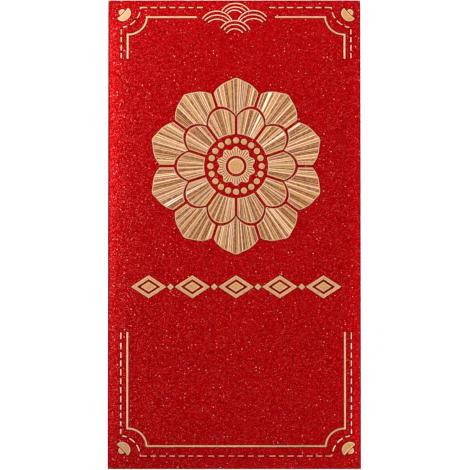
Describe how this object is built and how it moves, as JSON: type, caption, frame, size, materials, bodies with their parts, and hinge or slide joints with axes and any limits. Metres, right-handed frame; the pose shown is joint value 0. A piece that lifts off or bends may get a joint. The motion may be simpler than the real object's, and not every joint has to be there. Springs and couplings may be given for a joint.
{
  "type": "red envelope",
  "caption": "Flat upright-format gift envelope of glittering red paper, with gold foil ornament on the face, a lapped and glued back and a closure flap that folds over the mouth.",
  "frame": {"origin": "centre of the back, on the plane of the table that the envelope lies on", "axes": "+X to the right across the decorated face, +Y towards the mouth and the closure crease, +Z out of the decorated face"},
  "size_m": [0.089, 0.165, 0.0019],
  "materials": {
    "red_paper": "pearl glitter coat outside, plain pale paper inside",
    "gold_foil": "hot-stamped metallised foil, satin",
    "glue": "dry glue film"
  },
  "bodies": {
    "envelope": {"front_panel": "red_paper", "left_side_fold": "red_paper", "right_side_fold": "red_paper", "left_back_wing": "red_paper", "left_seam_rise": "red_paper", "left_seam_lap": "red_paper", "right_back_wing": "red_paper", "bottom_fold": "red_paper", "bottom_flap": "red_paper", "top_fold": "red_paper", "seam_glue": "glue", "bottom_flap_glue": "glue", "frame_line_top_left": "gold_foil", "frame_line_top_right": "gold_foil", "frame_line_bottom": "gold_foil", "dashes_top_left": "gold_foil", "dashes_top_right": "gold_foil", "dashes_bottom": "gold_foil", "ingot_top_left": "gold_foil", "ingot_top_right": "gold_foil", "ingot_bottom_left": "gold_foil", "ingot_bottom_right": "gold_foil", "wave_crest": "gold_foil", "medallion_outer_petals": "gold_foil", "medallion_inner_petals": "gold_foil", "medallion_beads": "gold_foil", "medallion_core": "gold_foil", "lozenge_row": "gold_foil"},
    "flap": {"flap_fold": "red_paper", "top_flap": "red_paper"}
  },
  "joints": [
    {"name": "flap_hinge", "type": "hinge", "parent": "envelope", "child": "flap", "pos_m": [0, 0.0825, 0.0009], "axis": [1, 0, 0], "range_deg": [0, 180]}
  ]
}
